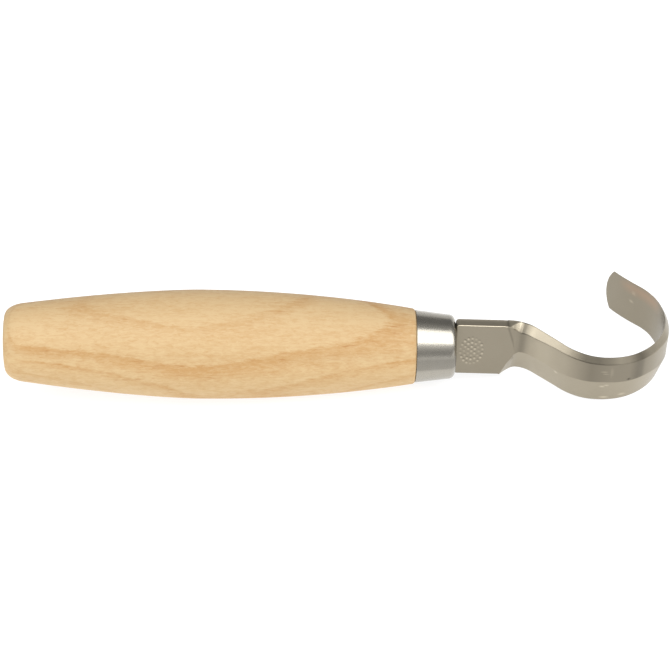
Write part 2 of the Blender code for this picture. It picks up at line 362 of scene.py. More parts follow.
def knife_matrix(record):
    """The matrix from the knife's own millimetres to world metres."""
    mounts = {mount["name"]: mount for mount in record["mounts"]}
    along = -Vector(mounts["butt_face"]["axis"]).normalized()
    across = Vector(mounts["ricasso_inner_face"]["axis"])
    across = (across - along * across.dot(along)).normalized()
    turn = Matrix((along, across, along.cross(across))).transposed().to_4x4()
    return Matrix.Translation(Vector(mounts["butt_face"]["pos_m"])) @ turn @ Matrix.Scale(MM, 4)


def blade_matrix(knife):
    """The blade leans down a little about the front of the ferrule."""
    front = Matrix.Translation((BLADE_PIVOT_X, 0.0, 0.0))
    return knife @ front @ Matrix.Rotation(BLADE_TILT, 4, "Y") @ front.inverted()


def skin(name, rings, matrix, poles=(), looped=False, extra=None):
    """A mesh over rings of points, closed by a pole at each end or by joining the last ring to the first.

    It carries each point's place in millimetres, the vectors in extra, and a map of the way round and along.
    """
    rings = np.asarray(rings, float)
    count, sides = rings.shape[:2]
    points = rings.reshape(-1, 3)
    bands = count if looped else count - 1
    ring = np.repeat(np.arange(bands), sides)
    side = np.tile(np.arange(sides), bands)
    after = (ring + 1) % count
    beside = (side + 1) % sides
    corners = (ring * sides + side, ring * sides + beside, after * sides + beside, after * sides + side)
    faces = np.stack(corners, 1).tolist()
    reach = np.concatenate([[0.0], np.cumsum(np.linalg.norm(np.diff(rings, axis=0), axis=2).mean(1)), [0.0]])
    along = (reach[ring], reach[ring], reach[ring + 1], reach[ring + 1])
    around = (side / sides, (side + 1) / sides, (side + 1) / sides, side / sides)
    spread = np.stack([np.stack(pair, 1) for pair in zip(along, around)], 1).reshape(-1, 2).tolist()
    for pole, first in zip(poles, (0, (count - 1) * sides)):
        points = np.vstack([points, pole])
        for i in range(sides):
            faces.append([len(points) - 1, first + (i + 1) % sides, first + i][:: 1 if first == 0 else -1])
            spread += [[0.0, 0.0], [0.01, 0.0], [0.01, 0.01]]
    mesh = bpy.data.meshes.new(name)
    mesh.from_pydata(points.tolist(), [], faces)
    mesh.uv_layers.new(name="along").data.foreach_set("uv", np.ravel(spread))
    store(mesh, "knife_mm", points)
    if extra:
        for key, values in extra.items():
            filler = np.repeat(values[-1:], len(points) - len(values), axis=0)
            store(mesh, key, np.vstack([values, filler]))
    mesh.transform(matrix)
    return mesh


def store(mesh, name, vectors):
    """Keep a vector for each point, for the materials to read."""
    attribute = mesh.attributes.new(name, "FLOAT_VECTOR", "POINT")
    attribute.data.foreach_set("vector", np.ravel(vectors).astype(np.float32))


def outward(mesh):
    """Turn every face outwards."""
    corners = np.array([mesh.vertices[i].co for face in mesh.polygons for i in list(face.vertices)[:3]])
    corners = corners.reshape(-1, 3, 3)
    if np.einsum("ij,ij->i", corners[:, 0], np.cross(corners[:, 1], corners[:, 2])).sum() < 0:
        mesh.flip_normals()


def add_piece(mesh, material, node, crease_degrees):
    """The mesh as a piece that takes the place of a CAD node."""
    outward(mesh)
    mesh.shade_smooth()
    mesh.set_sharp_from_angle(angle=math.radians(crease_degrees))
    mesh.materials.append(material)
    piece = bpy.data.objects.new(mesh.name, mesh)
    bpy.context.scene.collection.objects.link(piece)
    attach(piece, "root")
    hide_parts(node)
    return piece


# Turned pieces


def arc(centre, radii, start, end, steps):
    """Points on an ellipse, from one angle to another in degrees."""
    angles = np.radians(np.linspace(start, end, steps + 1))
    return list(zip(centre[0] + radii[0] * np.cos(angles), centre[1] + radii[1] * np.sin(angles)))


def barrel_radius(x):
    """Radius of the barrel, before its corners are rounded."""
    if x < BELLY_X:
        return BELLY_RADIUS - (BELLY_RADIUS - BUTT_RADIUS) * ((BELLY_X - x) / BELLY_X) ** BUTT_SWELL
    reach = HANDLE_LENGTH - BELLY_X
    return BELLY_RADIUS - (BELLY_RADIUS - NECK_RADIUS) * ((x - BELLY_X) / reach) ** NECK_SWELL


def slot_ring(x, angles, half_height, half_width, rounded):
    """The outline of a slot, as points at given angles round the axis."""
    cosines = np.abs(np.cos(angles)) + 1e-9
    sines = np.abs(np.sin(angles)) + 1e-9
    if rounded:
        straight = half_height - half_width
        root = np.sqrt(np.maximum(half_width**2 - (straight * cosines) ** 2, 0.0))
        on_side = half_width / cosines * sines < straight
        radii = np.where(on_side, half_width / cosines, straight * sines + root)
    else:
        radii = np.minimum(half_width / cosines, half_height / sines)
    return np.stack([np.full_like(angles, x), radii * np.cos(angles), radii * np.sin(angles)], 1)


def round_ring(x, radius, angles):
    """A circle round the turned pieces' axis, which lies a little low."""
    sink = AXIS_DROP + AXIS_SINK * x
    return np.stack([np.full_like(angles, x), radius * np.cos(angles), radius * np.sin(angles) - sink], 1)


def handle_rings():
    """Rings from the mortise's end out over the spigot, the barrel and the butt."""
    angles = clock_angles(HANDLE_SIDES)
    mortise = (angles, MORTISE_HALF_HEIGHT, MORTISE_HALF_WIDTH, True)
    rings = [slot_ring(MORTISE_END_X, *mortise), slot_ring(SPIGOT_END_X, *mortise)]
    rings.append(round_ring(SPIGOT_END_X, SPIGOT_RADII[1] - SPIGOT_CHAMFER, angles))
    rings.append(round_ring(SPIGOT_END_X - SPIGOT_CHAMFER, SPIGOT_RADII[1], angles))
    rings.append(round_ring(HANDLE_LENGTH, SPIGOT_RADII[0], angles))
    neck_x = HANDLE_LENGTH - NECK_CORNER
    neck = (neck_x, barrel_radius(neck_x) - NECK_CORNER)
    profile = arc(neck, (NECK_CORNER, NECK_CORNER), 0, 90, 8)
    butt_end = BUTT_X + BUTT_CORNER_LENGTH
    for x in np.linspace(neck_x, butt_end, BARREL_STATIONS)[1:]:
        profile.append((x, barrel_radius(x)))
    for turn in np.radians(np.linspace(0, 90, 25)[1:]):
        x = butt_end - BUTT_CORNER_LENGTH * math.sin(turn)
        profile.append((x, barrel_radius(x) - BUTT_CORNER_DEPTH * (1 - math.cos(turn))))
    profile += [(BUTT_X, profile[-1][1] * share) for share in (0.8, 0.6, 0.4, 0.2)]
    for x, radius in profile:
        waves = [np.sin(count * angles + twist * x + start) for count, twist, start in SANDING_WAVES]
        ripple = SANDING_RIPPLE / BELLY_RADIUS * (1 + sum(waves) / len(waves))
        ring = round_ring(x, radius * (1 - ripple), angles)
        ring[:, 0] -= BUTT_LEAN * ring[:, 2] * max(1 - x / BARREL_START, 0.0)
        rings.append(ring)
    return rings


def pith(x):
    """Where the middle of the tree's growth rings runs through the handle."""
    along = (x - PITH_MIDDLE) / PITH_MIDDLE
    across = sum(factor * along**power for power, factor in enumerate(PITH_ACROSS))
    up = sum(factor * along**power for power, factor in enumerate(PITH_UP))
    return across, up - PITH_DROP * np.maximum(along, 0.0) ** 3


def make_handle(knife):
    rings = np.array(handle_rings())
    poles = ((MORTISE_END_X, 0.0, 0.0), (BUTT_X, 0.0, 0.0))
    points = np.vstack([rings.reshape(-1, 3), poles])
    pith_y, pith_z = pith(points[:, 0])
    grain = np.stack([points[:, 0], points[:, 1] - pith_y, points[:, 2] - pith_z], 1)
    # painted shade and painted light by angle round the handle: darker on top, paler underneath
    angles = np.degrees(np.arctan2(points[:, 2], -points[:, 1]))
    shade = np.interp((angles + 90) % 360 - 90, *zip(*BIRCH_PAINTED_SHADING))
    even = np.clip(np.hypot(points[:, 1], points[:, 2]) / PAINTED_SHADING_EVEN_RADIUS, 0, 1) ** 3
    shade = 1 + (shade - 1) * even
    extra = {"grain_mm": grain, "painted_shading": np.stack([shade] * 3, 1)}
    mesh = skin("birch_handle", rings, knife, poles, extra=extra)
    return add_piece(mesh, birch(), "handle", crease_degrees=40)


def make_ferrule(knife):
    angles = clock_angles(FERRULE_SIDES)
    inner_x = FERRULE_FRONT_X - FERRULE_FRONT_WALL
    slot = (angles, SLOT_HALF_HEIGHT, SLOT_HALF_WIDTH, False)
    edge = (FERRULE_SHOULDER[0], FERRULE_SHOULDER[1] - FERRULE_EDGE[1])
    lip = (FERRULE_BASE_X + FERRULE_LIP, FERRULE_BASE_RADIUS - FERRULE_LIP)
    outside = [(FERRULE_FRONT_X, edge[1] * share) for share in (0.82, 0.9)]
    outside += arc(edge, FERRULE_EDGE, 0, 90, 24)
    for x in np.linspace(FERRULE_SHOULDER[0], lip[0], 20)[1:-1]:
        share = (x - lip[0]) / (FERRULE_SHOULDER[0] - lip[0])
        outside.append((x, FERRULE_BASE_RADIUS + (FERRULE_SHOULDER[1] - FERRULE_BASE_RADIUS) * share))
    outside += arc(lip, (FERRULE_LIP, FERRULE_LIP), 90, 180, 5)
    inside = [(FERRULE_BASE_X, FERRULE_BASE_RADIUS - FERRULE_WALL), (inner_x, FERRULE_INNER_RADIUS)]
    rings = [slot_ring(FERRULE_FRONT_X, *slot)]
    rings += [round_ring(x, radius, angles) for x, radius in outside + inside]
    rings.append(slot_ring(inner_x, *slot))
    # painted shade: a dimmer belt of reflection along the ferrule's lower front, set by angle round the axis
    front_up = np.degrees(math.pi - angles)
    painted_reflection = np.interp((front_up + 180) % 360 - 180, *zip(*FERRULE_PAINTED_SHADE))
    painted_reflection = np.tile(np.stack([painted_reflection] * 3, 1), (len(rings), 1))
    mesh = skin("steel_ferrule", rings, knife, looped=True, extra={"painted_reflection": painted_reflection})
    return add_piece(mesh, ferrule_steel(), "ferrule", crease_degrees=35)


# Blade


def inner_path(distance):
    """Points and headings on the inner face at distances past the bend's start."""
    x = BEND_START_X + distance
    y = np.full_like(distance, BAR_THICKNESS / 2)
    heading = np.zeros_like(distance)
    start = (0.0, BEND_START_X, BAR_THICKNESS / 2, 0.0)
    for reach, degrees in HOOK_BENDS:
        turn = math.radians(degrees)
        length = abs(reach * turn) if turn else reach
        here = distance >= start[0]
        share = np.minimum((distance - start[0]) / length, 1.0)
        for values, found in zip((x, y, heading), bend_point(start, reach, turn, share)):
            values[here] = found[here]
        end = bend_point(start, reach, turn, np.ones(1))
        start = (start[0] + length, *(float(value[0]) for value in end))
    return x, y, heading


def bend_point(start, reach, turn, share):
    """Points and headings at shares of one bend or straight, from (distance, x, y, heading) at its start."""
    heading = start[3] + turn * share
    if not turn:
        run = reach * share
        return start[1] + run * math.cos(start[3]), start[2] + run * math.sin(start[3]), heading
    radius = math.copysign(reach, turn)
    x = start[1] + radius * (np.sin(heading) - math.sin(start[3]))
    return x, start[2] - radius * (np.cos(heading) - math.cos(start[3])), heading


def table(distance, rows):
    """Values between the rows of (distance, value)."""
    return np.interp(distance, [row[0] for row in rows], [row[1] for row in rows])


def narrowing(distance):
    """The hook's width as a share of its width halfway along."""
    return 1 - HOOK_NARROWING * (np.maximum(distance, 0.0) / HOOK_LENGTH - 0.5)


def edge_half_width(distance):
    """Half of the bar's width: the shoulder, the ricasso, the hook and its round tip."""
    ground = np.clip((distance - PLUNGE_START) / (WIDTH_GRIND_END - PLUNGE_START), 0, 1)
    width = RICASSO_HALF_WIDTH + (EDGE_HALF_WIDTH * narrowing(distance) - RICASSO_HALF_WIDTH) * ground
    into_tip = np.clip(distance - (HOOK_LENGTH - TIP_RADIUS), 0.0, TIP_RADIUS - TIP_END)
    corner = np.clip(distance - (RICASSO_START_X - BEND_START_X), 0.0, SHOULDER_CORNER)
    shoulder = SHOULDER_CORNER - np.sqrt(SHOULDER_CORNER**2 - (SHOULDER_CORNER - corner) ** 2)
    return np.minimum(width - table(distance, EDGE_TRIM), np.sqrt(TIP_RADIUS**2 - into_tip**2)) - shoulder


def spine_ridge(distance):
    """Height of the ridge between the flat and the spine's bevel."""
    share = np.where(distance > VALLEY, narrowing(distance) / narrowing(VALLEY), 1.0)
    return table(distance, SPINE_LAND) * share


def bevel_ridge(distance):
    """Height of the ridge between the flat and the wide bevel."""
    return table(distance, BEVEL_LAND)


def facet_start(z):
    """Where the facet behind the ricasso starts: soonest at the spine, and later further down."""
    return FACET_START + (RICASSO_HALF_WIDTH - z) / RICASSO_HALF_WIDTH * FACET_LEAN


def face_height(distance, z):
    """Thickness of the bar where neither bevel has cut it: the flat, the facet behind it, then the hook."""
    facet = BAR_THICKNESS - FACET_SLOPE * np.maximum(distance - facet_start(z), 0)
    across = np.clip((VALLEY_LIFT_SPAN[0] - z) / (VALLEY_LIFT_SPAN[0] - VALLEY_LIFT_SPAN[1]), 0, 1)
    lift = VALLEY_LIFT * across * np.exp(-np.maximum(distance - VALLEY, 0) / VALLEY_LIFT_LENGTH)
    hook = table(distance, HOOK_THICKNESS) + lift
    softened = (facet + hook + np.sqrt((facet - hook) ** 2 + VALLEY_ROUNDING**2)) / 2
    return np.minimum(softened, BAR_THICKNESS)


def spine_side(distance):
    """Thickness left at the spine's edge."""
    left = np.clip((SPINE_GRIND[1] - distance) / (SPINE_GRIND[1] - SPINE_GRIND[0]), 0, 1)
    return EDGE_THICKNESS + (BAR_THICKNESS - EDGE_THICKNESS) * left


def bevel_side(distance):
    """Thickness left at the wide bevel's edge."""
    left = np.clip((BEVEL_GRIND_END - distance) / (BEVEL_GRIND_END - PLUNGE_START), 0, 1) ** BEVEL_GRIND_CURVE
    return EDGE_THICKNESS + (BAR_THICKNESS - EDGE_THICKNESS) * left


def outer_height(distance, z):
    """Distance from the inner face's plane out to the skin, with ridges left sharp."""
    half = edge_half_width(distance)
    spine = np.minimum(spine_ridge(distance), half - LEAST_SPINE_BEVEL)
    ridge = np.maximum(bevel_ridge(distance), LEAST_WIDE_BEVEL - half)
    spine_height, ridge_height = face_height(distance, spine), face_height(distance, ridge)
    spine_share = np.clip((z - spine) / (half - spine), 0, 1)
    ridge_share = np.clip((ridge - z) / (ridge + half), 0, 1)
    height = face_height(distance, np.clip(z, ridge, spine))
    height = np.where(z > spine, spine_height + (spine_side(distance) - spine_height) * spine_share, height)
    height = np.where(z < ridge, ridge_height + (bevel_side(distance) - ridge_height) * ridge_share, height)
    into_tip = np.maximum(distance - (HOOK_LENGTH - TIP_RADIUS), 0.0)
    from_edge = TIP_RADIUS - np.sqrt(into_tip**2 + z**2)
    at_tip = EDGE_THICKNESS + np.maximum(from_edge, 0.0) * TIP_BEVEL_SLOPE
    return np.where(into_tip > 0, np.minimum(height, at_tip), height)


def rosette_dots():
    """Centres of the punched dots, and how strongly each was struck."""
    for number, (radius, dots) in enumerate(ROSETTE_RINGS):
        for i in range(dots):
            angle = 2 * math.pi * (i + 0.5 * number) / dots
            place = ROSETTE_CENTRE[0] + ROSETTE_STRETCH[0] * radius * math.cos(angle)
            height = ROSETTE_CENTRE[1] + ROSETTE_STRETCH[1] * radius * math.sin(angle)
            yield place, height, 0.65 + 0.35 * math.sin(5.1 * i + 2.3 * number)


def near_dot(distance, z, place, height):
    """How far each point is from a dot's centre, where 1 is the dot's rim."""
    return np.hypot((distance - place) / ROSETTE_DOT[0], (z - height) / ROSETTE_DOT[1])


def rosette(distance, z):
    """Depth of the punched dots."""
    depth = np.zeros_like(z)
    for place, height, strength in rosette_dots():
        near = near_dot(distance, z, place, height)
        depth = np.maximum(depth, ROSETTE_DEPTH * strength * np.clip(1 - near, 0, 1))
    return depth


def rosette_painted_light(distance, z):
    """Painted highlight below each punched dot and painted shade above it, where its walls would catch and
    lose the light.
    """
    dot_light = np.ones_like(z)
    for place, height, strength in rosette_dots():
        highlight_share = np.clip(ROSETTE_SPREAD - near_dot(distance, z, place, height - ROSETTE_PAINT_OFFSET), 0, 1)
        shade_share = np.clip(ROSETTE_SPREAD - near_dot(distance, z, place, height + ROSETTE_PAINT_OFFSET), 0, 1)
        dot_light += strength * (ROSETTE_PAINTED_HIGHLIGHT * highlight_share - ROSETTE_PAINTED_SHADE * shade_share)
    return dot_light


def skin_height(distance, z):
    """The outer skin with its ridges rounded and its punched marks."""
    total = np.zeros_like(z)
    steps = np.linspace(-1, 1, 5)
    for aside in steps:
        for along in steps[1:-1]:
            total += outer_height(distance + along * RIDGE_ROUNDING, z + aside * RIDGE_ROUNDING)
    rounded = total / (len(steps) * len(steps[1:-1]))
    inside = np.abs(z) < edge_half_width(distance) - RIDGE_ROUNDING
    return np.where(inside, rounded, outer_height(distance, z)) - rosette(distance, z)


def crowded(count):
    """Shares between 0 and 1, without the ends, closer together near 1."""
    return 1 - (1 - np.arange(1, count + 1) / (count + 1)) ** ROW_CROWDING


def blade_stations():
    """Distances past the bend's start of the rings from the shoulder to the tip."""
    shoulder = 1 - np.cos(np.linspace(0, math.pi / 2, SHOULDER_RINGS))
    shoulder = RICASSO_START_X - BEND_START_X + SHOULDER_CORNER * shoulder
    rosette_start = max(ROSETTE_CENTRE[0] - ROSETTE_REACH, shoulder[-1]) + ROSETTE_CLEARANCE
    rosette_end = ROSETTE_CENTRE[0] + ROSETTE_REACH
    tip = HOOK_LENGTH - TIP_RADIUS
    return np.concatenate([
        shoulder,
        np.arange(rosette_start, rosette_end, ROSETTE_STEP),
        np.arange(rosette_end, BEND_RANGE[0], RICASSO_STEP),
        np.arange(*BEND_RANGE, BEND_STEP),
        np.arange(BEND_RANGE[1], tip, HOOK_STEP),
        tip + (TIP_RADIUS - TIP_END) * np.sin(np.linspace(0, math.pi / 2, TIP_RINGS)),
    ])


def side_rows(half, corner, set_in, thickness):
    """Rows of (z, depth) up one side of the bar, with both of its corners rounded."""
    turn = np.linspace(0, math.pi / 2, CORNER_POINTS)
    z = (half - corner + corner * np.sin(turn), half - corner + corner * np.cos(turn))
    depth = (set_in + corner * (1 - np.cos(turn)), thickness - corner + corner * np.sin(turn))
    return np.hstack(z), np.hstack(depth)


def ridge_rows(distance, half):
    """Where the outer face's rows meet the two ridges, and fan out to them from the flat."""
    spine = np.minimum(spine_ridge(distance), ROW_LIMIT)
    spine = np.where(distance > SPINE_FAN[1][0], spine, table(distance, SPINE_FAN))
    bevel = np.maximum(bevel_ridge(distance), -ROW_LIMIT)
    bevel = np.where(distance > BEVEL_FAN[1][0], bevel, table(distance, BEVEL_FAN))
    return np.minimum(spine, half * ROW_SHARE), np.maximum(bevel, -half * ROW_SHARE)


def outer_rows(distance, half, top, bottom):
    """Heights of the outer face's rows, from just below its top corner down to just above its bottom one."""
    spine, bevel = ridge_rows(distance, half)
    return np.hstack([
        top + (spine - top) * crowded(SPINE_POINTS),
        spine + (bevel - spine) * np.linspace(0, 1, FACE_POINTS),
        bevel + (bottom - bevel) * (1 - crowded(BEVEL_POINTS)[::-1]),
    ])


def bar_section(distance):
    """Each ring's heights, its depths from the inner face, and how far the shoulder's rounding sets it in."""
    half = edge_half_width(distance)
    set_in = np.clip(distance - (RICASSO_START_X - BEND_START_X), 0.0, BAR_CORNER)
    set_in = BAR_CORNER - np.sqrt(BAR_CORNER**2 - (BAR_CORNER - set_in) ** 2)
    top_side = spine_side(distance) - set_in
    top_side = np.minimum(top_side, EDGE_THICKNESS + TIP_EDGE_SLOPE * np.maximum(HOOK_LENGTH - distance, 0.0))
    low_side = bevel_side(distance) - set_in
    top_fade = np.clip((SPINE_GRIND[0] - distance) / CORNER_FADE[0], CORNER_FADE[1], 1)
    low_fade = np.clip((PLUNGE_START - distance) / CORNER_FADE[0], CORNER_FADE[1], 1)
    top_corner = np.minimum(BAR_CORNER * top_fade, (top_side - set_in) * CORNER_SHARE)
    low_corner = np.minimum(BAR_CORNER * low_fade, (low_side - set_in) * CORNER_SHARE)
    top, bottom = half - top_corner, low_corner - half
    inner_z = bottom + (top - bottom) * np.linspace(0, 1, INNER_POINTS + 2)[1:-1]
    outer_z = outer_rows(distance, half, top, bottom)
    outer_depth = skin_height(np.broadcast_to(distance, outer_z.shape), outer_z) - set_in
    top_z, top_depth = side_rows(half, top_corner, set_in, top_side)
    low_z, low_depth = side_rows(half, low_corner, set_in, low_side)
    z = np.hstack([inner_z, top_z, outer_z, -low_z[:, ::-1]])
    inner_depth = np.broadcast_to(set_in, inner_z.shape)
    return z, np.hstack([inner_depth, top_depth, outer_depth, low_depth[:, ::-1]]), set_in


def blade_rings():
    """Rings round the bar from the tang to the tip, and the vectors that its steel reads at each point."""
    stations = blade_stations()
    x, y, heading = (values[:, None] for values in inner_path(stations))
    distance = stations[:, None]
    z, depth, set_in = bar_section(distance)
    past_shoulder = distance - (RICASSO_START_X - BEND_START_X)
    x = x - SHOULDER_LEAN * z * np.clip(1 - past_shoulder / SHOULDER_FADE, 0, 1)
    lifted = z + table(distance, EDGE_DRIFT)
    points = np.stack([x + np.sin(heading) * depth, y - np.cos(heading) * depth, lifted], 2)
    place = np.broadcast_to(distance, z.shape)
    # the strip carries each point's place, height and painted reflection
    strip = np.stack([place, z, paint_reflection(place, z, depth - set_in)], 2)
    heat = np.stack([temper(place, z, depth - set_in)] * 3, 2)
    tang = [tang_ring(*row, depth[0], z[0]) for row in TANG]
    plain = np.zeros((len(TANG), z.shape[1], 3))
    extra = {"strip": np.concatenate([plain, strip]).reshape(-1, 3)}
    extra["temper"] = np.concatenate([plain, heat]).reshape(-1, 3)
    return np.concatenate([tang, points]), extra


def paint_reflection(distance, z, depth):
    """How bright each place's steel is painted: the flats duller and the freshly ground bevels brighter, with
    painted bands of reflection and shade along them.
    """
    on_bevel = np.clip((bevel_ridge(distance) - z) / PAINTED_REFLECTION_BLUR + 0.5, 0, 1)
    on_spine = np.clip((z - spine_ridge(distance)) / PAINTED_REFLECTION_BLUR + 0.5, 0, 1)
    face = table(distance, FACE_PAINTED_REFLECTION)
    outer = face + (table(distance, BEVEL_PAINTED_REFLECTION) - face) * on_bevel
    # painted shade along the crease at the facet's start
    darker, inset, reach = FACET_SHADE_LINE
    on_line = np.clip(1 - np.abs(distance - facet_start(z) - inset) / reach, 0, 1)
    on_line = on_line * np.clip((z - FACET_SHADE_LINE_FADE[0]) / FACET_SHADE_LINE_FADE[1], 0, 1)
    outer = outer * (1 - darker * on_line * (1 - on_bevel))
    outer = outer + (table(distance, SPINE_PAINTED_REFLECTION) - outer) * on_spine
    # painted highlights and shade of the rosette's dots and of the nicks
    outer = marked(outer * rosette_painted_light(distance, z), distance, z, NICKS_AND_GLINTS)
    inner = marked(table(distance, INNER_PAINTED_REFLECTION), distance, z, INNER_NICKS_AND_GLINTS)
    return np.where(depth > INNER_SKIN, outer, inner)


def marked(painted_reflection, distance, z, marks):
    """The painted reflection with nicks and scratches painted in as brighter or darker patches."""
    for place, height, half_length, half_width, brighter in marks:
        away = np.hypot((distance - place) / half_length, (z - height) / half_width)
        painted_reflection = painted_reflection * (1 + (brighter - 1) * np.clip(MARK_SPREAD - away, 0, 1))
    return painted_reflection


def temper(distance, z, depth):
    """How far the heat of grinding has coloured the inner face, near its upper edge."""
    start, end, fade = TEMPER
    along = np.clip(np.minimum(distance - start, end - distance) / fade, 0, 1)
    across = np.abs(edge_half_width(distance) - TEMPER_ACROSS[0] - z)
    across = np.clip(1 - across / TEMPER_ACROSS[1], 0, 1)
    return np.where(depth < INNER_SKIN, along * across, 0.0)


def tang_ring(x, half_width, near, far, depths, heights):
    """A ring of the tang with as many points as the ricasso's first ring, squeezed to the tang's section."""
    z = heights / np.abs(heights).max() * half_width
    spread = (depths - depths.min()) / (depths.max() - depths.min())
    return np.stack([np.full_like(z, x), BAR_THICKNESS / 2 - (near + (far - near) * spread), z], 1)


def make_blade(knife):
    rings, extra = blade_rings()
    poles = (rings[0].mean(0), rings[-1].mean(0))
    mesh = skin("hook_blade", rings, blade_matrix(knife), poles, extra=extra)
    return add_piece(mesh, blade_steel(), "blade", crease_degrees=38)


# Materials: noise is scaled in features per millimetre, except for the adhesive's, which is per metre


def add_node(tree, kind, inputs=None, **settings):
    """A shader node with its settings, and its inputs set to values or linked to sockets."""
    node = tree.nodes.new("ShaderNode" + kind)
    for key, value in settings.items():
        setattr(node, key, value)
    for key, value in (inputs or {}).items():
        if isinstance(value, bpy.types.NodeSocket):
            tree.links.new(value, node.inputs[key])
        else:
            node.inputs[key].default_value = value
    return node


def compute(tree, operation, first, second=0.0, third=0.0, clamp=False):
    """A sum on values or sockets."""
    inputs = {0: first, 1: second, 2: third}
    return add_node(tree, "Math", inputs, operation=operation, use_clamp=clamp).outputs[0]


def scaled(tree, vector, scale):
    """A vector stretched by a factor along each axis."""
    return add_node(tree, "VectorMath", {0: vector, 1: scale}, operation="MULTIPLY").outputs[0]


def noise(tree, vector, scale, detail=3.0, roughness=0.5, distortion=0.0):
    """Soft noise with its features stretched by a scale along each axis."""
    inputs = {"Vector": scaled(tree, vector, scale), "Scale": 1.0, "Detail": detail, "Roughness": roughness,
              "Distortion": distortion}
    return add_node(tree, "TexNoise", inputs).outputs["Fac"]


def remap(tree, value, low, high, to_low=0.0, to_high=1.0):
    """A value from one range spread over another, and held at its ends."""
    inputs = {"Value": value, "From Min": low, "From Max": high, "To Min": to_low, "To Max": to_high}
    return add_node(tree, "MapRange", inputs, clamp=True).outputs[0]


def blend_colours(tree, share, first, second, kind="MIX"):
    """Two colours mixed, or multiplied, by a share."""
    inputs = {0: share, 6: first, 7: second}  # the sockets that a Mix node uses for colours
    return add_node(tree, "Mix", inputs, data_type="RGBA", blend_type=kind).outputs[2]


def ramp(tree, value, stops):
    """A grey that changes evenly between stops of (place, tone)."""
    node = add_node(tree, "ValToRGB", {"Fac": value})
    elements = node.color_ramp.elements
    while len(elements) < len(stops):
        elements.new(0.5)
    for element, (place, tone) in zip(elements, stops):
        element.position = place
        element.color = (tone, tone, tone, 1.0)
    return node.outputs["Color"]


def new_material(name):
    """A material, as its node tree, its shader and itself."""
    material = bpy.data.materials.new(name)
    material.use_nodes = True
    return material.node_tree, material.node_tree.nodes["Principled BSDF"], material


def attribute(tree, name):
    """One of the vectors that the mesh keeps for each point."""
    return add_node(tree, "Attribute", attribute_name=name, attribute_type="GEOMETRY").outputs["Vector"]


def ring_tone(tree, grain):
    """How dark the growth rings make the wood, from 0 to 1."""
    wander = noise(tree, grain, (0.035, 0.11, 0.11), 3.0)
    fuzz = noise(tree, grain, (0.5, 2.2, 2.2), 4.0, 0.6)
    across = scaled(tree, grain, (0.0, 1.0, 1.0))
    radius = add_node(tree, "VectorMath", {0: across}, operation="LENGTH").outputs["Value"]
    radius = compute(tree, "MULTIPLY_ADD", compute(tree, "SUBTRACT", wander, 0.5), 0.4, radius)
    radius = compute(tree, "MULTIPLY_ADD", compute(tree, "SUBTRACT", fuzz, 0.5), 0.24, radius)
    span = RING_SPAN[1] - RING_SPAN[0]
    stops = []
    for place, dark, wide in RINGS:
        stops += [(place - wide, 0.0), (place - 0.03, dark), (place + 0.05, 0.0)]
    stops = [((place - RING_SPAN[0]) / span, tone) for place, tone in stops]
    tone = ramp(tree, remap(tree, radius, *RING_SPAN), stops)
    patchy = remap(tree, noise(tree, grain, (0.05, 0.16, 0.16), 2.0), 0.35, 0.7, 0.6, 1.0)
    from_butt = add_node(tree, "SeparateXYZ", {0: grain}).outputs[0]
    faded = remap(tree, from_butt, 1.5, 7.0, 0.25, 1.0)
    return compute(tree, "MULTIPLY", compute(tree, "MULTIPLY", tone, patchy), faded)


def birch():
    tree, shader, material = new_material("birch")
    grain = attribute(tree, "grain_mm")
    tone = ring_tone(tree, grain)
    fibre = noise(tree, grain, (0.09, 1.3, 1.3), 5.0, 0.6, 0.3)
    fine = noise(tree, grain, (0.55, 1.9, 1.9), 4.0, 0.7, 0.8)
    cloud = noise(tree, grain, (0.028, 0.10, 0.10), 2.0)
    figure = noise(tree, grain, (0.30, 0.35, 0.35), 3.0, 0.55, 0.6)
    dark = compute(tree, "MULTIPLY", tone, 0.85)
    for pattern, weight in ((fibre, 0.75), (fine, 1.9), (cloud, 0.6), (figure, 0.6)):
        dark = compute(tree, "MULTIPLY_ADD", compute(tree, "SUBTRACT", pattern, 0.5), weight, dark)
    dark = compute(tree, "ADD", dark, 0.20, clamp=True)
    colour = blend_colours(tree, dark, BIRCH_LIGHT, BIRCH_DARK)
    pores = noise(tree, grain, (0.55, 5.5, 5.5), 2.0, 0.5)
    pores = remap(tree, pores, 0.66, 0.80, 0.0, 0.35)
    streaks = noise(tree, grain, (0.22, 1.5, 1.5), 2.0, 0.4)
    streaks = compute(tree, "MULTIPLY", remap(tree, streaks, 0.60, 0.72, 0.0, 0.9), tone)
    colour = blend_colours(tree, compute(tree, "MAXIMUM", pores, streaks), colour, BIRCH_FLECK)
    # multiply in the painted shading: darker top, paler underside
    colour = blend_colours(tree, 1.0, colour, attribute(tree, "painted_shading"), "MULTIPLY")
    roughness = remap(tree, fine, 0.3, 0.7, 0.46, 0.60)
    tree.links.new(colour, shader.inputs["Base Color"])
    tree.links.new(roughness, shader.inputs["Roughness"])
    shader.inputs["Specular IOR Level"].default_value = 0.12
    height = compute(tree, "ADD", fibre, compute(tree, "MULTIPLY", fine, 0.5))
    height = compute(tree, "SUBTRACT", height, pores)
    bump = add_node(tree, "Bump", {"Strength": 0.25, "Distance": 0.00006, "Height": height})
    tree.links.new(bump.outputs[0], shader.inputs["Normal"])
    return material


